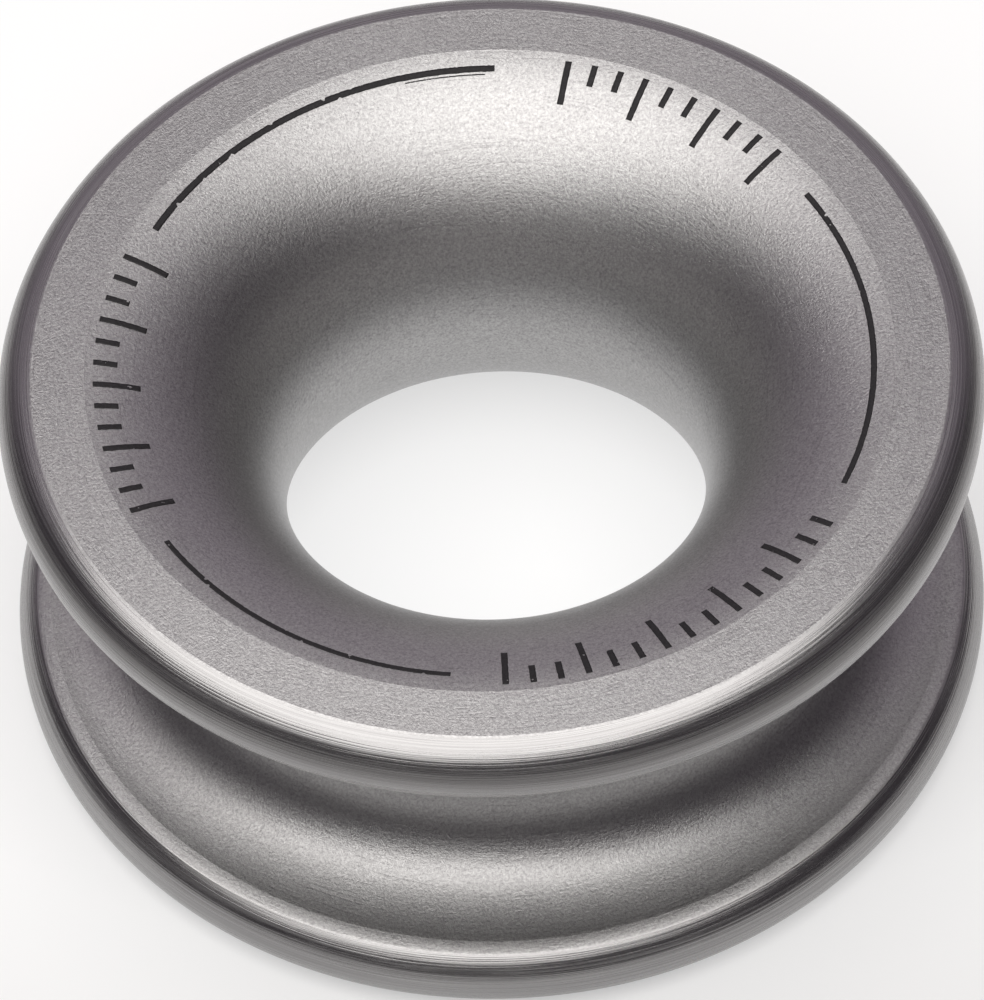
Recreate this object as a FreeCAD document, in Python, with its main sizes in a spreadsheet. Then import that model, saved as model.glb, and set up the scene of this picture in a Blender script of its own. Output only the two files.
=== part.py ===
"""A low friction ring: one turned piece of aluminium.

A rope runs through the rounded throat, and a lashing sits in the groove round the outside.
The upper half of the section is turned about the Z axis, and the half ring is mirrored in
the mid plane. Lengths are in millimetres, angles in degrees. The origin is the ring's
centre, with Z along its axis.
"""

import FreeCAD, Part
import math
import os

import Sketcher

# Driving sizes. Each one can be changed by itself. A tilt is the angle between the surface
# and the flat faces at that place.
SIZES = [
    ("bore_diameter", 22.0, "diameter of the throat at its waist"),
    ("outer_diameter", 51.2, "diameter over the rims of the two flanges"),
    ("ring_height", 22.1, "height over the two flat faces"),
    ("face_width", 2.78, "radial width of each flat face"),
    ("rim_tilt", 7.9, "tilt of the round rim where it leaves the flat face"),
    ("rim_end_tilt", 32.0, "tilt of the round rim where it meets the lip"),
    ("lip_width", 0.8, "width of the narrow lip between rim and groove"),
    ("lip_tilt", 15.0, "tilt of the lip"),
    ("groove_width", 13.92, "width of the outer groove between its edges"),
    ("groove_depth", 5.95, "depth of the outer groove below its edges"),
    ("floor_width", 2.44, "width of the groove's straight floor"),
    ("shoulder_tilt", 4.0, "tilt of the groove's wall at its edge"),
    ("corner_tilt", 23.0, "tilt of the groove's wall where it turns down to the floor"),
]

# Names of a sketch element's points, and of the sketch's own origin and axes.
START, END, CENTRE = 1, 2, 3
ORIGIN = (-1, 1)
MID_PLANE = -1


def fill_sheet(doc):
    """The sheet of driving sizes: a name, a number with an alias, and what it measures."""
    sheet = doc.addObject("Spreadsheet::Sheet", "Sizes")
    for row, (alias, value, meaning) in enumerate(SIZES, start=1):
        sheet.set(f"A{row}", alias)
        sheet.set(f"B{row}", str(value))
        sheet.setAlias(f"B{row}", alias)
        sheet.set(f"C{row}", meaning)
    doc.recompute()
    return sheet


def arc(centre_x, centre_y, radius, start, end):
    """An arc in the sketch's plane, anticlockwise from start to end, in radians."""
    circle = Part.Circle(FreeCAD.Vector(centre_x, centre_y), FreeCAD.Vector(0, 0, 1), radius)
    return Part.ArcOfCircle(circle, start, end)


def line(x1, y1, x2, y2):
    """A straight edge in the sketch's plane."""
    return Part.LineSegment(FreeCAD.Vector(x1, y1), FreeCAD.Vector(x2, y2))


def arc_over(rise, half_chord):
    """Radius of the arc that stands rise above a chord of twice half_chord."""
    return (rise**2 + half_chord**2) / (2 * rise)


def groove_radii(depth, half_width, shoulder, corner):
    """Radii of the groove's flat shoulder and of its tighter corner.

    The wall leaves the edge at the tilt named shoulder, changes from one arc to the other at
    the tilt named corner, and ends upright. Both arcs together fall by half_width and reach
    in by depth.
    """
    turn = math.sin(corner - shoulder) + math.cos(corner) - math.cos(shoulder)
    reach = depth * math.cos(corner) - half_width * (1 - math.sin(corner))
    fall = half_width * (math.sin(corner) - math.sin(shoulder))
    fall -= depth * (math.cos(shoulder) - math.cos(corner))
    return reach / turn, fall / turn


def draw_section(sketch, sheet):
    """The upper right quarter of the ring cut through its axis: X is the radius, Y the height.

    Going round from the inside: the throat's arc, the flat face, the round rim, the narrow
    lip, the groove's shoulder and corner, its floor, and the mid plane back to the throat.
    Each element is drawn in its place first, and the constraints then hold it there.
    """
    top = sheet.ring_height / 2
    edge_y = sheet.groove_width / 2
    floor_y = sheet.floor_width / 2
    tilt, end_tilt, lip_tilt, shoulder_tilt, corner_tilt = (
        math.radians(angle)
        for angle in (
            sheet.rim_tilt,
            sheet.rim_end_tilt,
            sheet.lip_tilt,
            sheet.shoulder_tilt,
            sheet.corner_tilt,
        )
    )
    lip_rise = sheet.lip_width * math.sin(lip_tilt)
    lip_run = sheet.lip_width * math.cos(lip_tilt)
    rim_radius = (top - edge_y - lip_rise) / (math.cos(tilt) + math.cos(end_tilt))
    rim_x = sheet.outer_diameter / 2 - rim_radius
    rim_y = top - rim_radius * math.cos(tilt)
    face_x = rim_x + rim_radius * math.sin(tilt)
    mouth_x = face_x - sheet.face_width
    waist_x = sheet.bore_diameter / 2
    lip_x = rim_x + rim_radius * math.sin(end_tilt)
    edge_x = lip_x - lip_run
    floor_x = edge_x - sheet.groove_depth
    throat_radius = arc_over(mouth_x - waist_x, top)
    throat_turn = math.atan2(top, waist_x + throat_radius - mouth_x)
    shoulder_radius, corner_radius = groove_radii(
        sheet.groove_depth, edge_y - floor_y, shoulder_tilt, corner_tilt
    )
    shoulder_x = edge_x + shoulder_radius * math.sin(shoulder_tilt)
    shoulder_y = edge_y - shoulder_radius * math.cos(shoulder_tilt)

    quarter = math.pi / 2
    throat = sketch.addGeometry(
        arc(waist_x + throat_radius, 0, throat_radius, math.pi - throat_turn, math.pi)
    )
    face = sketch.addGeometry(line(mouth_x, top, face_x, top))
    rim = sketch.addGeometry(arc(rim_x, rim_y, rim_radius, end_tilt - quarter, quarter - tilt))
    lip = sketch.addGeometry(line(lip_x, edge_y + lip_rise, edge_x, edge_y))
    shoulder = sketch.addGeometry(
        arc(
            shoulder_x,
            shoulder_y,
            shoulder_radius,
            quarter + shoulder_tilt,
            quarter + corner_tilt,
        )
    )
    corner = sketch.addGeometry(
        arc(floor_x + corner_radius, floor_y, corner_radius, quarter + corner_tilt, math.pi)
    )
    floor = sketch.addGeometry(line(floor_x, floor_y, floor_x, 0))
    web = sketch.addGeometry(line(floor_x, 0, waist_x, 0))

    def hold(kind, *where):
        return sketch.addConstraint(Sketcher.Constraint(kind, *where))

    def size(name, expression, kind, *where):
        """A driving size of the sketch, bound to the sheet."""
        index = hold(kind, *where)
        sketch.renameConstraint(index, name)
        sketch.setExpression(f"Constraints.{name}", expression)

    # The outline is closed, and the groove's wall runs smoothly into its floor.
    hold("Coincident", throat, START, face, START)
    hold("Coincident", face, END, rim, END)
    hold("Coincident", rim, START, lip, START)
    hold("Coincident", lip, END, shoulder, START)
    hold("Tangent", shoulder, END, corner, START)
    hold("Tangent", corner, END, floor, START)
    hold("Coincident", floor, END, web, START)
    hold("Coincident", web, END, throat, END)

    # The throat and the floor are upright where they cross the mid plane.
    hold("Horizontal", face)
    hold("Vertical", floor)
    hold("PointOnObject", throat, CENTRE, MID_PLANE)
    hold("PointOnObject", throat, END, MID_PLANE)
    hold("PointOnObject", floor, END, MID_PLANE)

    half_height = "Sizes.ring_height / 2"
    lip_height = "Sizes.lip_width * sin(Sizes.lip_tilt * 1 deg)"
    rim_cosine = "cos(Sizes.rim_tilt * 1 deg)"
    size("half_height", half_height, "DistanceY", *ORIGIN, face, START, top)
    size("waist_radius", "Sizes.bore_diameter / 2", "DistanceX", *ORIGIN, throat, END, waist_x)
    size(
        "face_width",
        "Sizes.face_width",
        "DistanceX",
        face,
        START,
        face,
        END,
        sheet.face_width,
    )

    # The rim's radius is what is left of the flange between its face and the lip.
    size(
        "rim_radius",
        f"({half_height} - Sizes.groove_width / 2 - {lip_height})"
        f" / ({rim_cosine} + cos(Sizes.rim_end_tilt * 1 deg))",
        "Radius",
        rim,
        rim_radius,
    )
    size(
        "rim_centre",
        "Sizes.outer_diameter / 2 * 1 mm - .Constraints.rim_radius",
        "DistanceX",
        *ORIGIN,
        rim,
        CENTRE,
        rim_x,
    )
    size(
        "rim_height",
        f"{half_height} * 1 mm - .Constraints.rim_radius * {rim_cosine}",
        "DistanceY",
        *ORIGIN,
        rim,
        CENTRE,
        rim_y,
    )
    size("lip_rise", lip_height, "DistanceY", lip, END, lip, START, lip_rise)
    size(
        "lip_run",
        "Sizes.lip_width * cos(Sizes.lip_tilt * 1 deg)",
        "DistanceX",
        lip,
        END,
        lip,
        START,
        lip_run,
    )

    size("edge_height", "Sizes.groove_width / 2", "DistanceY", *ORIGIN, lip, END, edge_y)
    size(
        "groove_depth",
        "Sizes.groove_depth",
        "DistanceX",
        floor,
        START,
        lip,
        END,
        sheet.groove_depth,
    )
    size("floor_height", "Sizes.floor_width / 2", "DistanceY", floor, END, floor, START, floor_y)

    # The wall's two radii follow from its depth, its height and its two tilts.
    wall = "(Sizes.groove_width - Sizes.floor_width) / 2"
    low, high = "Sizes.shoulder_tilt * 1 deg", "Sizes.corner_tilt * 1 deg"
    turn = f"(sin({high} - {low}) + cos({high}) - cos({low}))"
    size(
        "shoulder_radius",
        f"(Sizes.groove_depth * cos({high}) - {wall} * (1 - sin({high}))) / {turn}",
        "Radius",
        shoulder,
        shoulder_radius,
    )
    size(
        "corner_radius",
        f"({wall} * (sin({high}) - sin({low}))"
        f" - Sizes.groove_depth * (cos({low}) - cos({high}))) / {turn}",
        "Radius",
        corner,
        corner_radius,
    )


def make_ring(doc, sheet):
    """The ring's body: the quarter section turned a full turn about Z, then mirrored."""
    body = doc.addObject("PartDesign::Body", "ring")
    body.Label = "ring"
    body.Placement = FreeCAD.Placement()
    planes = {f.Role: f for f in body.Origin.OriginFeatures}

    section = body.newObject("Sketcher::SketchObject", "section")
    section.AttachmentSupport = [(planes["XZ_Plane"], "")]
    section.MapMode = "FlatFace"
    draw_section(section, sheet)

    turned = body.newObject("PartDesign::Revolution", "upper_half")
    turned.Profile = section
    turned.ReferenceAxis = (section, ["V_Axis"])
    turned.Angle = 360
    body.Tip = turned

    whole = body.newObject("PartDesign::Mirrored", "whole_ring")
    whole.Originals = [turned]
    whole.MirrorPlane = (planes["XY_Plane"], [""])
    body.Tip = whole
    return body


def check(doc, bodies):
    """Stops the build if an object failed or a body isn't one valid solid."""
    for obj in doc.Objects:
        if "Invalid" in obj.State or "Error" in obj.State:
            raise RuntimeError(f"{obj.Name} did not recompute: {obj.State}")
    for body in bodies:
        shape = body.Shape
        if shape.isNull() or not shape.isValid() or len(shape.Solids) != 1:
            raise RuntimeError(f"{body.Label} is not one valid solid")


doc = FreeCAD.newDocument("low_friction_ring")
sizes = fill_sheet(doc)
ring = make_ring(doc, sizes)
doc.recompute()
check(doc, [ring])

os.makedirs("parts", exist_ok=True)
ring.Shape.exportStep(f"parts/{ring.Label}.step")

box = ring.Shape.optimalBoundingBox()
print(f"{ring.Label}: {ring.Shape.Volume / 1000:.3f} cm3, {len(ring.Shape.Faces)} faces")
print(f"box {box.XLength:.3f} x {box.YLength:.3f} x {box.ZLength:.3f} mm")
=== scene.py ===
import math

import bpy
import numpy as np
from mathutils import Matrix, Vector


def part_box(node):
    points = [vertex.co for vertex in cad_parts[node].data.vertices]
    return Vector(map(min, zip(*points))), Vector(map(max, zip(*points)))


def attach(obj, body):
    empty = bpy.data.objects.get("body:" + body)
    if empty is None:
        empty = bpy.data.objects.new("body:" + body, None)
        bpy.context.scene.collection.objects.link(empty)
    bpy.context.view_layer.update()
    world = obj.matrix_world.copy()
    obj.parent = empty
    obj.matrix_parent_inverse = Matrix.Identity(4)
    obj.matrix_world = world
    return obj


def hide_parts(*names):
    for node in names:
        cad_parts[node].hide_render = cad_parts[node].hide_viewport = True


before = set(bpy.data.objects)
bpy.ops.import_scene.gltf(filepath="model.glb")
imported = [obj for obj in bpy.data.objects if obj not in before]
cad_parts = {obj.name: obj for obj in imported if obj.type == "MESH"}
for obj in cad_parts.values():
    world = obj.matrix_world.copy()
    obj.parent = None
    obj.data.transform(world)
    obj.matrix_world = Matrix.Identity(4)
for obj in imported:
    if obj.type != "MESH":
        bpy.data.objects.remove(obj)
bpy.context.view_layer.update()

# %% [markdown]
# A turned ring, dressed for its portrait.
#
# The real object is one piece of aluminium from a lathe. A rope runs through its rounded
# throat, and a lashing sits in the groove round the outside. Everything that the eye reads
# comes from three things: the curve of the section, the satin of the anodised skin, and how
# one large soft light slides over both. So this lesson makes the section first, turns it,
# gives it its finish, adds the thin printed marks, and sets the camera and the light last.
#
# The measured solid is already loaded. The box is kept before anything is added, because
# the dressed ring has to stay inside it.

MM = 0.001
low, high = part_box("ring")
outer_radius = (high.x - low.x) / 2 / MM
half_height = (high.z - low.z) / 2 / MM
print(f"solid: {2 * outer_radius:.2f} mm across, {2 * half_height:.2f} mm high")

# %% [markdown]
# The section.
#
# Half of the ring's outline, from the throat's narrowest place to the bottom of the groove,
# is a chain of seven stretches: the throat's long arc, the flat face, the round rim, a
# narrow lip, the groove's shoulder, its tighter corner and its straight floor. One could draw
# it with curve handles by eye. Here each stretch is an arc or a line with a real radius and
# a real tilt, so the bands of light fall where the lathe put them. The lower half is the
# same chain upside down.
#
# A tilt is the angle between the surface and the flat face, in degrees. Lengths are in
# millimetres until the mesh is made.

# %% Sizes of the section
WAIST_RADIUS = 11.0
FACE_WIDTH = 2.78
RIM_TILT, RIM_END_TILT = 7.9, 32.0
LIP_WIDTH, LIP_TILT = 0.8, 15.0
GROOVE_HALF_WIDTH, GROOVE_DEPTH, FLOOR_HALF_WIDTH = 6.96, 5.95, 1.22
SHOULDER_TILT, CORNER_TILT = 4.0, 23.0


def tilted(angle):
    """Sine and cosine of a tilt in degrees."""
    return math.sin(math.radians(angle)), math.cos(math.radians(angle))


rim_sin, rim_cos = tilted(RIM_TILT)
end_sin, end_cos = tilted(RIM_END_TILT)
lip_sin, lip_cos = tilted(LIP_TILT)
rim_radius = (half_height - GROOVE_HALF_WIDTH - LIP_WIDTH * lip_sin) / (rim_cos + end_cos)
rim_r, rim_z = outer_radius - rim_radius, half_height - rim_radius * rim_cos
face_r = rim_r + rim_radius * rim_sin
mouth_r = face_r - FACE_WIDTH
edge_r = rim_r + rim_radius * end_sin - LIP_WIDTH * lip_cos
floor_r = edge_r - GROOVE_DEPTH
mouth_reach = mouth_r - WAIST_RADIUS
throat_radius = (mouth_reach**2 + half_height**2) / (2 * mouth_reach)
print(f"rim radius {rim_radius:.3f}, throat radius {throat_radius:.3f}")
print(f"mouth at {mouth_r:.2f}, groove edge at {edge_r:.2f}, groove floor at {floor_r:.2f}")

# %% [markdown]
# The groove's wall.
#
# A wall that were one arc would show one broad band of light. The real wall shows a wide
# bright band that darkens quickly towards the floor, so it is flatter near its edge and
# tighter near the bottom. Two arcs that share a tangent do that. Their radii follow from the
# depth and the height that they have to cover together, which is two equations in two
# unknowns.


# %% The two radii of the groove's wall
def wall_radii(depth, height):
    """Radii R and Q of shoulder and corner, from
    R (sin b - sin a) + Q (1 - sin b) = depth and R (cos a - cos b) + Q cos b = height,
    where a is the shoulder's tilt and b is the corner's."""
    a_sin, a_cos = tilted(SHOULDER_TILT)
    b_sin, b_cos = tilted(CORNER_TILT)
    terms = np.array([[b_sin - a_sin, 1 - b_sin], [a_cos - b_cos, b_cos]])
    return np.linalg.solve(terms, [depth, height])


shoulder_radius, corner_radius = wall_radii(
    GROOVE_DEPTH, GROOVE_HALF_WIDTH - FLOOR_HALF_WIDTH
)
print(f"shoulder radius {shoulder_radius:.2f}, corner radius {corner_radius:.2f}")

# %% [markdown]
# From stretches to rows.
#
# Every point on the ring is named by two numbers: how far round it is, and how far along the
# section. So the section becomes one long list of rows, each with a radius, a height, its
# length along the section, and a mark that says which finish it has there. Rows are close
# together where the curve is tight. Rows where two stretches meet at an angle are kept in a
# list, because the shading has to break there as the real edge does.
#
# The lip is a cone on paper, but the tool leaves it slightly crowned, and the crown is what
# makes its highlight a soft band. So here it is an arc through the same two ends.

# %% Rows of the half section
SATIN, TURNED = 0.0, 1.0
GROOVE = {"shoulder", "corner", "floor"}
THROAT_ROWS, FACE_ROWS, RIM_ROWS, LIP_ROWS = 30, 6, 26, 7
SHOULDER_ROWS, CORNER_ROWS, FLOOR_ROWS = 10, 18, 3


def arc_rows(centre_r, centre_z, radius, start, end, count):
    """Points at centre + radius (cos t, sin t), for count values of t from start to end."""
    t = np.radians(np.linspace(start, end, count))
    return np.c_[centre_r + radius * np.cos(t), centre_z + radius * np.sin(t)]


def line_rows(first, last, count):
    """Points spaced evenly on a straight line."""
    t = np.linspace(0, 1, count)[:, None]
    return np.array(first) * (1 - t) + np.array(last) * t


# %% The seven stretches
throat_centre = WAIST_RADIUS + throat_radius
throat_turn = math.degrees(math.atan2(half_height, throat_centre - mouth_r))
throat = arc_rows(throat_centre, 0, throat_radius, 180, 180 - throat_turn, THROAT_ROWS)
face = line_rows((mouth_r, half_height), (face_r, half_height), FACE_ROWS)
rim = arc_rows(rim_r, rim_z, rim_radius, 90 - RIM_TILT, RIM_END_TILT - 90, RIM_ROWS)

# The crown is half the angle of the lip's arc, in degrees.
LIP_CROWN = 6.5
crown_sin, crown_cos = tilted(LIP_CROWN)
lip_radius = LIP_WIDTH / 2 / crown_sin
lip_drop = lip_radius * crown_cos
lip_centre = (
    edge_r + LIP_WIDTH / 2 * lip_cos - lip_drop * lip_sin,
    GROOVE_HALF_WIDTH + LIP_WIDTH / 2 * lip_sin + lip_drop * lip_cos,
)
lip_start = LIP_TILT - 90
lip = arc_rows(*lip_centre, lip_radius, lip_start + LIP_CROWN, lip_start - LIP_CROWN, LIP_ROWS)

shoulder_sin, shoulder_cos = tilted(SHOULDER_TILT)
shoulder_at = (
    edge_r + shoulder_radius * shoulder_sin,
    GROOVE_HALF_WIDTH - shoulder_radius * shoulder_cos,
)
wall_start, wall_turn = 90 + SHOULDER_TILT, 90 + CORNER_TILT
shoulder = arc_rows(*shoulder_at, shoulder_radius, wall_start, wall_turn, SHOULDER_ROWS)
corner_at = (floor_r + corner_radius, FLOOR_HALF_WIDTH)
corner = arc_rows(*corner_at, corner_radius, wall_turn, 180, CORNER_ROWS)
groove_floor = line_rows((floor_r, FLOOR_HALF_WIDTH), (floor_r, 0), FLOOR_ROWS)
print(f"throat turns {throat_turn:.1f} degrees, lip is an arc of radius {lip_radius:.2f}")

# %% One list of rows
stretches = [
    ("throat", SATIN, throat),
    ("face", SATIN, face),
    ("rim", TURNED, rim),
    ("lip", SATIN, lip),
    ("shoulder", SATIN, shoulder),
    ("corner", SATIN, corner),
    ("floor", SATIN, groove_floor),
]
rows, polish, in_groove, crease_rows = [], [], [], []
for name, finish, points in stretches:
    skip = 1 if rows else 0
    rows.append(points[skip:])
    polish.append(np.full(len(points) - skip, finish))
    in_groove.append(np.full(len(points) - skip, float(name in GROOVE)))
    if name not in GROOVE:
        crease_rows.append(sum(map(len, rows)) - 1)
half = np.concatenate(rows)
half_polish, half_groove = np.concatenate(polish), np.concatenate(in_groove)
print(f"{len(half)} rows in the half section, breaks at rows {crease_rows}")

# %% [markdown]
# Both halves, as one closed loop.
#
# The lower half is the upper half mirrored and read backwards, without the two rows that lie
# on the mid plane, which both halves share. The length along the section is counted from the
# waist both ways, so it has no jump anywhere, and the fine tool lines of the finish can be
# drawn along it.

# %% The whole section
mirrored = half[-2:0:-1] * [1, -1]
section = np.concatenate([half, mirrored])
section_polish = np.concatenate([half_polish, half_polish[-2:0:-1]])
section_groove = np.concatenate([half_groove, half_groove[-2:0:-1]])
steps = np.linalg.norm(np.diff(section, axis=0, append=section[:1]), axis=1)
section_length = np.concatenate([[0], np.cumsum(steps)[:-1]])
section_length = np.minimum(section_length, steps.sum() - section_length)
row_count = len(section)
creases = np.array(crease_rows + [row_count - row for row in crease_rows])
print(f"{row_count} rows, {steps.sum():.1f} mm round the section")


# %% [markdown]
# Turning the section.
#
# A lathe makes this shape by turning, and so does the mesh: row i and column j give the
# point (r cos t, r sin t, z). Blender's Screw modifier or the Spin tool would also turn a
# profile. A grid worked out at once is chosen because every vertex then knows its place
# along the section, and the finish can use that. The grid closes on itself both ways, so no
# seam is left open.

# %% Grid helpers
def closed_grid_faces(row_total, column_total):
    """Quads between neighbouring rows and columns, where the last joins the first again."""
    i, j = np.meshgrid(np.arange(row_total), np.arange(column_total), indexing="ij")
    below, beside = (i + 1) % row_total, (j + 1) % column_total
    corners = [(i, j), (below, j), (below, beside), (i, beside)]
    return np.stack([a * column_total + b for a, b in corners], axis=-1).reshape(-1, 4)


def mesh_piece(name, points, faces, material=None):
    """A mesh object from an array of points in metres and an array of quads."""
    mesh = bpy.data.meshes.new(name)
    mesh.vertices.add(len(points))
    mesh.vertices.foreach_set("co", np.asarray(points, dtype=np.float32).ravel())
    mesh.loops.add(faces.size)
    mesh.loops.foreach_set("vertex_index", faces.astype(np.int32).ravel())
    mesh.polygons.add(len(faces))
    mesh.polygons.foreach_set("loop_start", np.arange(0, faces.size, 4, dtype=np.int32))
    mesh.update(calc_edges=True)
    mesh.validate()
    mesh.polygons.foreach_set("use_smooth", np.ones(len(faces), dtype=bool))
    piece = bpy.data.objects.new(name, mesh)
    bpy.context.scene.collection.objects.link(piece)
    if material:
        mesh.materials.append(material)
    return piece


def enclosed_volume(points, faces):
    """Sum over triangles of p . (q x s) / 6, positive where the faces look outward."""
    p, q, s, t = (points[faces[:, k]] for k in range(4))
    first = np.einsum("ij,ij->i", p, np.cross(q, s))
    second = np.einsum("ij,ij->i", p, np.cross(s, t))
    return (first + second).sum() / 6


# %% The ring's skin
COLUMNS = 480
turn = np.linspace(0, 2 * np.pi, COLUMNS, endpoint=False)
r, z = section[:, :1] * MM, section[:, 1:] * MM
skin = np.stack([r * np.cos(turn), r * np.sin(turn), z + 0 * turn], axis=-1).reshape(-1, 3)
skin_faces = closed_grid_faces(row_count, COLUMNS)
if enclosed_volume(skin, skin_faces) < 0:
    skin_faces = skin_faces[:, ::-1]
ring = mesh_piece("turned_ring", skin, skin_faces)
volume = enclosed_volume(skin, skin_faces) / (10 * MM) ** 3
print(f"ring: {len(skin_faces)} quads, {volume:.2f} cubic centimetres")

# %% Breaks in the shading
# An edge is a crease where both its vertices lie on the same crease row.
mesh = ring.data
edge_ends = np.empty(len(mesh.edges) * 2, dtype=np.int32)
mesh.edges.foreach_get("vertices", edge_ends)
edge_row = edge_ends.reshape(-1, 2) // COLUMNS
on_crease = (edge_row[:, 0] == edge_row[:, 1]) & np.isin(edge_row[:, 0], creases)
sharp = mesh.attributes.new("sharp_edge", "BOOLEAN", "EDGE")
sharp.data.foreach_set("value", on_crease)
print(f"{on_crease.sum()} crease edges")

# %% What each vertex knows
# along: millimetres along the section. turned: 1 on the rims. grooved: 1 inside the groove.
known = {"along": section_length, "turned": section_polish, "grooved": section_groove}
for label, values in known.items():
    per_vertex = np.repeat(values, COLUMNS).astype(np.float32)
    mesh.attributes.new(label, "FLOAT", "POINT").data.foreach_set("value", per_vertex)
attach(ring, "root")
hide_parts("ring")
print("each vertex knows:", ", ".join(known))

# %% [markdown]
# Arithmetic for materials.
#
# A material is a sum of signals: a length, a noise, a mask. Wiring each Math node by hand
# hides the idea, so one small class wraps a socket and lets Python's own signs stand for the
# nodes. A signal plus a number makes an Add node, and so on. Every other node comes from one
# method that takes its type, its settings and its inputs.


# %% Signals
class Signal:
    """A socket in a material's node tree that can be added, multiplied and so on."""

    def __init__(self, tree, socket):
        self.tree, self.socket = tree, socket

    def node(self, kind, settings=None, inputs=None):
        """A node of a kind, with its settings and its inputs set or linked."""
        made = self.tree.nodes.new(kind)
        for key, value in (settings or {}).items():
            setattr(made, key, value)
        for key, value in (inputs or {}).items():
            if isinstance(value, Signal):
                self.tree.links.new(value.socket, made.inputs[key])
            else:
                made.inputs[key].default_value = value
        return made

    def out(self, kind, settings=None, inputs=None, output=0):
        """One output of a new node, as a signal."""
        return Signal(self.tree, self.node(kind, settings, inputs).outputs[output])

    def maths(self, operation, *values):
        """A Math node of these values, or of this signal where none are given."""
        inputs = dict(enumerate(values or (self,)))
        return self.out("ShaderNodeMath", {"operation": operation}, inputs)

    def __add__(self, other):
        return self.maths("ADD", self, other)

    def __radd__(self, other):
        return self.maths("ADD", other, self)

    def __sub__(self, other):
        return self.maths("SUBTRACT", self, other)

    def __rsub__(self, other):
        return self.maths("SUBTRACT", other, self)

    def __mul__(self, other):
        return self.maths("MULTIPLY", self, other)

    def __rmul__(self, other):
        return self.maths("MULTIPLY", other, self)

    def __truediv__(self, other):
        return self.maths("DIVIDE", self, other)

    def __rtruediv__(self, other):
        return self.maths("DIVIDE", other, self)

    def ramp(self, start, end):
        """0 below start, 1 above end, and an even slope between them."""
        inputs = {"Value": self, "From Min": start, "From Max": end}
        return self.out("ShaderNodeMapRange", {"clamp": True}, inputs)

    def between(self, low_colour, high_colour):
        """A colour that goes from the first to the second as the signal goes from 0 to 1."""
        inputs = {"Factor": self, 6: low_colour, 7: high_colour}
        return self.out("ShaderNodeMix", {"data_type": "RGBA"}, inputs, output=2)


def new_material(name):
    """A new material, its surface shader, and the object's own coordinates as a signal."""
    material = bpy.data.materials.new(name)
    material.use_nodes = True
    tree = material.node_tree
    shader = tree.nodes["Principled BSDF"]
    place = tree.nodes.new("ShaderNodeTexCoord").outputs["Object"]
    return material, shader, Signal(tree, place)


# %% [markdown]
# The anodised finish.
#
# Anodising leaves a clear hard skin on the metal. Over the blasted surfaces, which are the
# throat, the faces, the lip and the groove, it scatters light in a satin way, with a fine
# grain like frosted glass. The groove is a little smoother than the throat. The rims were
# turned again after blasting, so they are smoother still and a shade darker, and thin
# streaks run round them. All of it is one material, and the marks that each vertex carries
# choose between the finishes. Separate materials would leave a hard line where one ends.
#
# The grain is noise in space, with lumps of a seventh of a millimetre and finer ones on
# them. The streaks are noise read at a place that changes slowly round the ring and fast
# along the section. Scratches are the thin lines where such a noise passes its middle
# value.
#
# Metal from a lathe blurs a reflection more across its grooves than along them, which the
# shader calls anisotropic. A quarter turn of its direction puts the blur across.

# %% Places that the finish reads
metal, metal_shader, here = new_material("satin_anodised_aluminium")
split = here.node("ShaderNodeSeparateXYZ", inputs={0: here})
x, y = (Signal(here.tree, split.outputs[k]) for k in range(2))
along = here.out("ShaderNodeAttribute", {"attribute_name": "along"}, output=2)
rim_mark = here.out("ShaderNodeAttribute", {"attribute_name": "turned"}, output=2)
groove_mark = here.out("ShaderNodeAttribute", {"attribute_name": "grooved"}, output=2)
reach = (x * x + y * y).maths("SQRT")
round_x, round_y = x / reach, y / reach


def round_noise(per_turn, per_mm, detail=3.0):
    """Noise that is stretched round the ring: per_turn sets how often it changes in one
    turn, per_mm how often along the section."""
    vector = here.out(
        "ShaderNodeCombineXYZ",
        inputs={0: round_x * per_turn, 1: round_y * per_turn, 2: along * per_mm},
    )
    inputs = {"Vector": vector, "Scale": 1.0, "Detail": detail}
    return here.out("ShaderNodeTexNoise", inputs=inputs)


def grain_noise(size_mm, detail=3.0, bite=0.5):
    """Noise that is the same in every direction, with lumps of about size_mm. The bite says
    how strong the finer lumps are beside the larger ones."""
    inputs = {"Vector": here, "Scale": 1 / (size_mm * MM), "Detail": detail, "Roughness": bite}
    return here.out("ShaderNodeTexNoise", inputs=inputs)


# %% Grain, streaks and tool lines
GRAIN_SIZE, GRAIN_BITE, CLOUD_SIZE, PATCH_SIZE = 0.15, 0.85, 6.0, 2.4
STREAK_CONTRAST, PATCH_CONTRAST, SCRATCH_SHARPNESS = (0.32, 0.68), (0.48, 0.6), 55.0
grain = grain_noise(GRAIN_SIZE, bite=GRAIN_BITE)
clouds = grain_noise(CLOUD_SIZE)
drawn_grain = round_noise(per_turn=44.0, per_mm=9.0, detail=2.0)
tool_lines = round_noise(per_turn=1.5, per_mm=7.0)
streaks = round_noise(per_turn=1.8, per_mm=13.0, detail=4.0).ramp(*STREAK_CONTRAST)
wander = round_noise(per_turn=1.3, per_mm=1.1, detail=2.0) - 0.5
scratches = (1.0 - wander.maths("ABSOLUTE") * SCRATCH_SHARPNESS).ramp(0.0, 1.0)
scratches = scratches * grain_noise(PATCH_SIZE, detail=0.0).ramp(*PATCH_CONTRAST)
satin_mark = 1.0 - rim_mark

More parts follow.
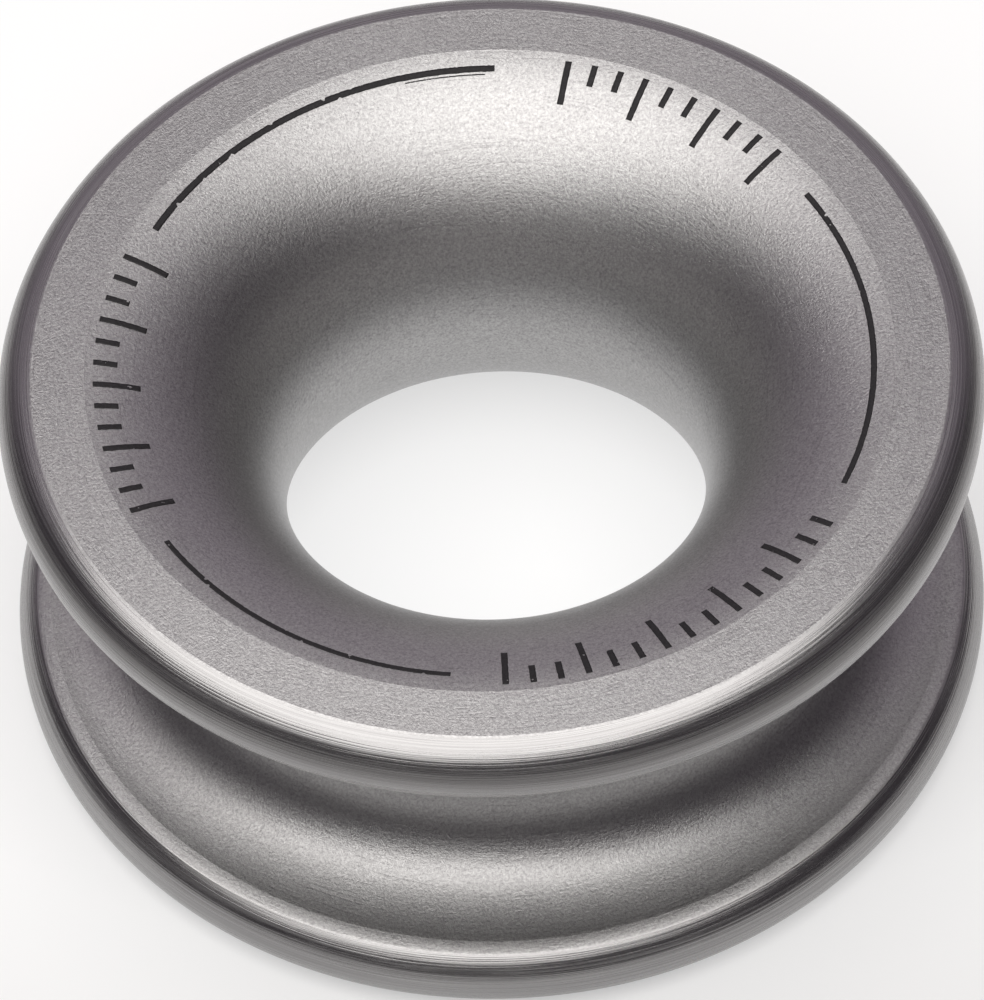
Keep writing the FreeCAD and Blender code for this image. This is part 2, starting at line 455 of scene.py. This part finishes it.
# %% Colour
# Each tone is how far that signal moves the colour from the dark metal to the pale one.
GRAIN_TONE, LINE_TONE, SCRATCH_TONE = 0.85, 0.08, 0.16
STREAK_TONE, CLOUD_TONE, RIM_TONE, GROOVE_TONE_LOSS = 0.42, 0.06, 0.17, 0.1
GRAIN_CONTRAST = (0.3, 0.7)
DARK_METAL, PALE_METAL = (0.228, 0.222, 0.224, 1), (0.522, 0.516, 0.514, 1)
grain_share = satin_mark - GROOVE_TONE_LOSS * groove_mark
grain_tone = (grain.ramp(*GRAIN_CONTRAST) - 0.5) * GRAIN_TONE * grain_share
line_tone = ((tool_lines - 0.5) * LINE_TONE - scratches * SCRATCH_TONE) * satin_mark
streak_tone = (streaks - 0.5) * STREAK_TONE * rim_mark
cloud_tone = (clouds - 0.5) * CLOUD_TONE
tone = 0.5 - RIM_TONE * rim_mark + grain_tone + line_tone + streak_tone + cloud_tone
colour = tone.between(DARK_METAL, PALE_METAL)

# %% Roughness
SATIN_ROUGHNESS, RIM_ROUGHNESS, GROOVE_ROUGHNESS = 0.32, 0.26, 0.285
STREAK_ROUGHNESS = 0.1
roughness = SATIN_ROUGHNESS - (SATIN_ROUGHNESS - RIM_ROUGHNESS) * rim_mark
roughness = roughness - (SATIN_ROUGHNESS - GROOVE_ROUGHNESS) * groove_mark
roughness = roughness + (streaks - 0.5) * STREAK_ROUGHNESS * rim_mark

# %% Fine relief
# Heights are in millimetres. The groove's grain is a quarter less deep.
GRAIN_HEIGHT, DRAWN_HEIGHT, LINE_HEIGHT = 0.023, 0.003, 0.005
SCRATCH_DEPTH, STREAK_HEIGHT, GROOVE_HEIGHT_LOSS = 0.003, 0.008, 0.25
satin_relief = grain * GRAIN_HEIGHT + drawn_grain * DRAWN_HEIGHT + tool_lines * LINE_HEIGHT
satin_relief = satin_relief - scratches * SCRATCH_DEPTH
satin_depth = satin_mark - GROOVE_HEIGHT_LOSS * groove_mark
relief = satin_relief * satin_depth + streaks * STREAK_HEIGHT * rim_mark
bump = here.node("ShaderNodeBump", inputs={"Strength": 1.0, "Distance": MM, "Height": relief})

# %% The finish on the ring
BLUR_ACROSS, QUARTER_TURN = 0.5, 0.25
links = here.tree.links
links.new(colour.socket, metal_shader.inputs["Base Color"])
links.new(roughness.socket, metal_shader.inputs["Roughness"])
links.new(bump.outputs[0], metal_shader.inputs["Normal"])
metal_shader.inputs["Metallic"].default_value = 1.0
metal_shader.inputs["Anisotropic"].default_value = BLUR_ACROSS
metal_shader.inputs["Anisotropic Rotation"].default_value = QUARTER_TURN
ring.data.materials.append(metal)
print(f"{metal.name}: {len(here.tree.nodes)} nodes")

# %% [markdown]
# The printed marks.
#
# Three thin black lines and three short scales are printed inside the mouth. Painting them
# into the metal's colour would be easy, but ink lies on the metal as a film that can be
# felt, so each mark is a very thin raised piece. A mark follows a path on the ring's skin,
# given by its turn and by its length along the section. Its edges waver and have small
# chips, as worn ink does. The film follows the same rows as the skin, with its foot a
# hundredth of a millimetre inside the metal, so no gap shows under it. Beside the back line
# lies one more, a hair thin and broken, where the printing slipped.


# %% A film of ink on the skin
INK_THICKNESS, INK_ROOT, POINTS_ACROSS = 0.012, -0.01, 5
half_length = section_length[: len(half)]
tangent = np.gradient(half, half_length, axis=0)
tangent /= np.linalg.norm(tangent, axis=1)[:, None]


def throat_length(radius):
    """The length along the section at which the throat has this radius."""
    return np.interp(radius, half[:THROAT_ROWS, 0], half_length[:THROAT_ROWS])


def skin_point(angle, length, lift):
    """The skin at a turn and a length along the section, raised by lift along its normal:
    (r + lift n) turned by the angle, where n is the section's tangent turned outward."""
    r_at = np.interp(length, half_length, half[:, 0])
    z_at = np.interp(length, half_length, half[:, 1])
    out_r = -np.interp(length, half_length, tangent[:, 1])
    out_z = np.interp(length, half_length, tangent[:, 0])
    r_at, z_at = r_at + lift * out_r, z_at + lift * out_z
    return np.stack([r_at * np.cos(angle), r_at * np.sin(angle), z_at], axis=-1)


def ink_stroke(angle, length, left, right):
    """A closed film along a path, with a half width to its left and one to its right: each
    cross row runs from the left edge to the right on top and back below, and quads between
    top and underside close the two ends."""
    radius = np.interp(length, half_length, half[:, 0])
    step_round, step_along = np.gradient(angle) * radius, np.gradient(length)
    size = np.hypot(step_round, step_along)
    side_round, side_along = -step_along / size, step_round / size
    over = np.linspace(-1, 1, POINTS_ACROSS)
    across_row = np.concatenate([over, over[::-1]])
    lift_row = np.repeat([INK_THICKNESS, INK_ROOT], len(over))
    offset = np.where(across_row < 0, across_row * left[:, None], across_row * right[:, None])
    film = skin_point(
        angle[:, None] + offset * side_round[:, None] / radius[:, None],
        length[:, None] + offset * side_along[:, None],
        lift_row[None, :],
    )
    count, last = film.shape[1], (len(film) - 1) * film.shape[1]
    i, j = np.meshgrid(np.arange(len(film) - 1), np.arange(count), indexing="ij")
    beside = (j + 1) % count
    quads = [i * count + j, (i + 1) * count + j, (i + 1) * count + beside, i * count + beside]
    sides = np.stack(quads, axis=-1).reshape(-1, 4)
    k = np.arange(len(over) - 1)
    cap = np.stack([k, k + 1, count - 2 - k, count - 1 - k], axis=-1)
    points, faces = film.reshape(-1, 3) * MM, np.concatenate([sides, cap, cap[:, ::-1] + last])
    if enclosed_volume(points, faces) < 0:
        faces = faces[:, ::-1]
    return points, faces


# %% The ragged edge of a stroke
RIPPLE_BLUR, RIPPLE_SHARE = (0.3, 0.5, 0.3), 0.05
CHIP_SHAPE, CHIP_DEPTH = (0.4, 0.9, 1.0, 0.8, 0.5), (0.3, 1.1)
THINNEST, WIDEST = 0.12, 1.2


def worn_edge(generator, count, half_width, chips):
    """A half width that wavers a little, with chips of ink gone from it: about so many chips
    along the whole stroke, each a few steps long and up to most of the half width deep."""
    ripple = np.convolve(generator.normal(size=count), RIPPLE_BLUR, "same")
    bites = (generator.random(count) < chips / count) * generator.uniform(*CHIP_DEPTH, count)
    bites = np.convolve(bites, CHIP_SHAPE, "same")
    return half_width * (1 + RIPPLE_SHARE * ripple - bites).clip(THINNEST, WIDEST)


def joined(parts):
    """Several closed films as one array of points and one of faces."""
    starts = np.cumsum([0] + [len(points) for points, _ in parts[:-1]])
    faces = np.concatenate([f + start for (_, f), start in zip(parts, starts)])
    return np.concatenate([points for points, _ in parts]), faces


# %% Ink
# The ink is a little rougher where it is worn, and has a few pinholes.
INK_ROUGHNESS, WEAR_ROUGHNESS, INK_SHEEN = 0.42, 0.25, 0.25
INK_CONTRAST, PINHOLE = (0.3, 0.8), (0.72, 0.73)
ink, ink_shader, ink_here = new_material("black_ink")
WEAR_PER_METRE, GRAIN_PER_METRE = 2600.0, 9000.0
DEEP_INK, THIN_INK = (0.006, 0.005, 0.006, 1), (0.022, 0.02, 0.022, 1)
ink_wear = ink_here.out(
    "ShaderNodeTexNoise", inputs={"Vector": ink_here, "Scale": WEAR_PER_METRE}
)
ink_fine = ink_here.out(
    "ShaderNodeTexNoise", inputs={"Vector": ink_here, "Scale": GRAIN_PER_METRE}
)
ink_colour = ink_fine.ramp(*INK_CONTRAST).between(DEEP_INK, THIN_INK)
ink_links = ink_here.tree.links
ink_links.new(ink_colour.socket, ink_shader.inputs["Base Color"])
ink_links.new((INK_ROUGHNESS + WEAR_ROUGHNESS * ink_wear).socket, ink_shader.inputs["Roughness"])
ink_links.new((1.0 - ink_wear.ramp(*PINHOLE)).socket, ink_shader.inputs["Alpha"])
ink_shader.inputs["Specular IOR Level"].default_value = INK_SHEEN
print(f"{ink.name}: {len(ink_here.tree.nodes)} nodes")

# %% Printed lines
# Each line has its first and last turn in degrees, how far it lies inside the line's circle,
# its half width, both in millimetres, and how many chips it has.
LINE_RADIUS, LINE_STEPS, MARK_SEED = 19.85, 500, 22
line_length = throat_length(LINE_RADIUS)
marks = np.random.default_rng(MARK_SEED)
LINES = {
    "printed_line_back": (87.0, 149.5, 0.0, 0.185, 5),
    "printed_line_left": (-148.75, -98.0, 0.0, 0.15, 2),
    "printed_line_right": (-26.25, 31.25, 0.0, 0.16, 1),
    "printed_line_spill": (88.5, 101.0, 0.34, 0.035, 7),
}
for name, (start, end_angle, inward, half_width, chips) in LINES.items():
    angle = np.radians(np.linspace(start, end_angle, LINE_STEPS))
    length = np.full(LINE_STEPS, line_length - inward)
    edges = [worn_edge(marks, LINE_STEPS, half_width, chips) for _ in range(2)]
    piece = mesh_piece(name, *ink_stroke(angle, length, *edges), ink)
    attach(piece, "root")
    print(f"{name}: {len(piece.data.polygons)} faces")

# %% Three short scales
# A mark runs from one radius of the throat to another. Every third mark is a long one.
SHORT_MARK, LONG_MARK, LONG_EVERY = (19.3, 20.55), (18.1, 20.55), 3
MARK_HALF_WIDTH, MARK_STEPS = 0.17, 30
SCALES = {
    "scale_marks_front": (-90.0, -34.0, 15),
    "scale_marks_back": (40.0, 76.0, 10),
    "scale_marks_left": (156.0, 204.0, 13),
}
for name, (start, end_angle, count) in SCALES.items():
    parts = []
    for k, degrees in enumerate(np.linspace(start, end_angle, count)):
        inner, outer = LONG_MARK if k % LONG_EVERY == 0 else SHORT_MARK
        length = np.linspace(throat_length(inner), throat_length(outer), MARK_STEPS)
        angle = np.full(MARK_STEPS, np.radians(degrees))
        edges = [worn_edge(marks, MARK_STEPS, MARK_HALF_WIDTH, 0.0) for _ in range(2)]
        parts.append(ink_stroke(angle, length, *edges))
    piece = mesh_piece(name, *joined(parts), ink)
    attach(piece, "root")
    print(f"{name}: {count} marks")

# %% [markdown]
# The floor.
#
# The ring lies on pale paper under one wide soft light. The paper's colour carries a painted
# pool of light: it is white in a wide round pool whose middle lies behind the ring, and is
# painted darker to a pale grey further out, as the light on a studio's background falls off.
# The fade is softer than any edge, so the metal shows no line where it begins. A floor that
# were white all over would light up the undersides of the rims in front, which look down at
# the paper nearest to the viewer.

# %% Floor
# Lengths are in metres. The pool's middle is POOL_BEHIND behind the ring's axis, and its
# fade begins and ends at the two radii of POOL_FADE.
FLOOR_HALF, PAPER_ROUGHNESS, PAPER_SHEEN = 1.6, 0.9, 0.1
PAPER, PAINTED_DIM_PAPER = (0.94, 0.94, 0.94, 1), (0.38, 0.38, 0.38, 1)
POOL_BEHIND, POOL_FADE = 0.03, (0.052, 0.085)
paper, paper_shader, spot = new_material("pale_paper")
spot_xyz = spot.node("ShaderNodeSeparateXYZ", inputs={0: spot})
across, away = (Signal(spot.tree, spot_xyz.outputs[k]) for k in range(2))
behind = away - POOL_BEHIND
# Painted light: the paper's colour is white in the pool and painted darker outside it. This is a
# falloff of light, not a change in the paper.
painted_falloff = (across * across + behind * behind).maths("SQRT").ramp(*POOL_FADE)
paper_with_painted_pool = painted_falloff.between(PAPER, PAINTED_DIM_PAPER)
spot.tree.links.new(paper_with_painted_pool.socket, paper_shader.inputs["Base Color"])
paper_shader.inputs["Roughness"].default_value = PAPER_ROUGHNESS
paper_shader.inputs["Specular IOR Level"].default_value = PAPER_SHEEN
corners = np.array([[-1, -1], [1, -1], [1, 1], [-1, 1]]) * FLOOR_HALF
floor_points = np.c_[corners, np.full(4, -half_height * MM)]
floor = mesh_piece("paper_floor", floor_points, np.array([[0, 1, 2, 3]]), paper)
print(f"floor: {2 * FLOOR_HALF:.1f} m square at {-half_height:.2f} mm")

# %% [markdown]
# The white of the paper.
#
# A studio photographer lights the background on its own, so that it comes out white while
# the object keeps its tones. Here the paper is given painted light: it mixes in a plain white
# glow for the rays that are seen, those from the camera and those that metal and glass send
# on. More of it goes inside the throat, as painted light that lifts the shadow which the ring
# casts there. Around the ring the glow fades with the painted pool, and the paper keeps part
# of its own shading, so the ring's soft shadow is still on it, fainter. The metal mirrors the
# white, but nothing matt gets any light from it.

# %% A white that is seen
# Painted light: a white glow on the paper, strongest inside the throat, where it lifts the
# ring's shadow.
GLOW_IN_THROAT, GLOW_AROUND = 0.75, 0.45
THROAT_EDGE = (0.012, 0.022)
from_axis = (across * across + away * away).maths("SQRT")
in_throat = 1.0 - from_axis.ramp(*THROAT_EDGE)
seen = spot.node("ShaderNodeLightPath")
camera_ray, glossy_ray, clear_ray = (
    Signal(spot.tree, seen.outputs[name])
    for name in ("Is Camera Ray", "Is Glossy Ray", "Is Transmission Ray")
)
glow_level = in_throat * (GLOW_IN_THROAT - GLOW_AROUND) + (1.0 - painted_falloff) * GLOW_AROUND
glow_mask = glow_level * (camera_ray + glossy_ray + clear_ray)
glow = spot.node("ShaderNodeEmission", inputs={"Color": (1, 1, 1, 1), "Strength": 1.0})
blend = spot.node("ShaderNodeMixShader", inputs={0: glow_mask})
spot.tree.links.new(paper_shader.outputs[0], blend.inputs[1])
spot.tree.links.new(glow.outputs[0], blend.inputs[2])
end = next(n for n in spot.tree.nodes if n.type == "OUTPUT_MATERIAL")
spot.tree.links.new(blend.outputs[0], end.inputs["Surface"])
print(f"{paper.name}: {len(spot.tree.nodes)} nodes")

# %% [markdown]
# The light and the room.
#
# One round soft light hangs above the ring and reaches further towards the viewer than away.
# Its edges draw the dark bands: where the curved metal looks past an edge of the light, it
# shows the dim room. The room isn't even. Its far wall and its upper corners beside that
# wall are lit, which keeps the outer sides of the rims from going black, and the wall behind
# the viewer is dark. Walls could be built as planes, but a world whose level depends on the
# direction has no corners or seams for the metal to show. The lamp is a little warm and the
# room a little violet, as the bright and the dark bands of the photograph are.

# %% Soft light
LIGHT_HEIGHT, LIGHT_POWER = 0.6, 6.2
LIGHT_WIDTH, LIGHT_LENGTH = 0.90, 1.04
LIGHT_SIDE, LIGHT_FORWARD = -0.09, -0.16
LIGHT_COLOUR = (1.0, 0.984, 0.956)
lamp = bpy.data.lights.new("soft_light", "AREA")
lamp.shape = "ELLIPSE"
lamp.size, lamp.size_y = LIGHT_WIDTH, LIGHT_LENGTH
lamp.energy = LIGHT_POWER
lamp.color = LIGHT_COLOUR
light = bpy.data.objects.new("soft_light", lamp)
light.location = (LIGHT_SIDE, LIGHT_FORWARD, LIGHT_HEIGHT)
bpy.context.scene.collection.objects.link(light)
print(f"light: {LIGHT_WIDTH:.2f} m by {LIGHT_LENGTH:.2f} m, {LIGHT_POWER} W")

# %% Room
# Levels of light from the room, the wall behind the ring, its corners and the dark near wall.
# Each pair says where that light begins and is full, along x, y or z of the direction.
ROOM_LEVEL, WALL_LEVEL, CORNER_LEVEL, NEAR_WALL_LOSS = 0.082, 0.43, 0.37, 0.033
FAR_WALL, NEAR_WALL, NEAR_WALL_TOP = (0.45, 0.95), (0.3, 0.8), (0.2, 0.5)
CORNER_SIDE, CORNER_DEPTH, CORNER_RISE = (0.15, 0.4), (0.2, 0.5), (0.35, 0.8)
ROOM_COLOUR = (1, 0.88, 1, 1)
room = bpy.data.worlds.new("dim_room")
bpy.context.scene.world = room
room.use_nodes = True
room_tree = room.node_tree
sky = Signal(room_tree, room_tree.nodes.new("ShaderNodeTexCoord").outputs["Generated"])
sky_xyz = sky.node("ShaderNodeSeparateXYZ", inputs={0: sky})
side, depth, rise = (Signal(sky.tree, sky_xyz.outputs[k]) for k in range(3))
far_wall = depth.ramp(*FAR_WALL) * (WALL_LEVEL - ROOM_LEVEL)
corner_side = side.maths("ABSOLUTE").ramp(*CORNER_SIDE)
corner_place = corner_side * depth.ramp(*CORNER_DEPTH) * rise.ramp(*CORNER_RISE)
near_wall = (0.0 - depth).ramp(*NEAR_WALL) * (1.0 - rise.ramp(*NEAR_WALL_TOP))
level = ROOM_LEVEL + far_wall + corner_place * CORNER_LEVEL - near_wall * NEAR_WALL_LOSS
background = room_tree.nodes["Background"]
sky.tree.links.new(level.socket, background.inputs["Strength"])
background.inputs["Color"].default_value = ROOM_COLOUR
bpy.context.scene.view_settings.view_transform = "Standard"
print(f"{room.name}: {len(room_tree.nodes)} nodes")

# %% [markdown]
# The camera.
#
# The photograph looks down on the ring at 53 degrees, from a little over half a metre, with
# a long lens. The camera could be placed by eye. Here its numbers come from fitting the
# outlines of the hole, the mouth and the rims, which are circles seen at a slant. It rolls by
# three degrees, because the picture does. It looks at the ring's centre, and a small shift
# puts that centre on its pixel.

# %% Camera
# Elevation and roll are in radians, the distance in metres.
ELEVATION, DISTANCE, ROLL = 0.9209, 0.589375, -0.0500487
PIXELS_PER_METRE, FRAME_SIZE = 19060.3, (984, 1000)
CENTRE_PIXEL, SENSOR_WIDTH, NEAREST_SEEN = (496.149, 492.665), 36.0, 0.01
position = DISTANCE * np.array([0, -math.cos(ELEVATION), math.sin(ELEVATION)])
forward = -position / np.linalg.norm(position)
right = np.cross(forward, [0, 0, 1])
right /= np.linalg.norm(right)
up = np.cross(right, forward)
rolled_right = math.cos(ROLL) * right + math.sin(ROLL) * up
rolled_up = -math.sin(ROLL) * right + math.cos(ROLL) * up

camera_data = bpy.data.cameras.new("camera")
camera = bpy.data.objects.new("camera", camera_data)
bpy.context.scene.collection.objects.link(camera)
bpy.context.scene.camera = camera
pose = np.eye(4)
pose[:3] = np.column_stack([rolled_right, rolled_up, -forward, position])
camera.matrix_world = Matrix(pose.tolist())
camera_data.sensor_width = SENSOR_WIDTH
long_side = max(FRAME_SIZE)
camera_data.lens = PIXELS_PER_METRE * DISTANCE / long_side * SENSOR_WIDTH
camera_data.shift_x = (FRAME_SIZE[0] / 2 - CENTRE_PIXEL[0]) / long_side
camera_data.shift_y = (CENTRE_PIXEL[1] - FRAME_SIZE[1] / 2) / long_side
camera_data.clip_start = NEAREST_SEEN
print(f"lens {camera_data.lens:.0f} mm at {DISTANCE:.3f} m")
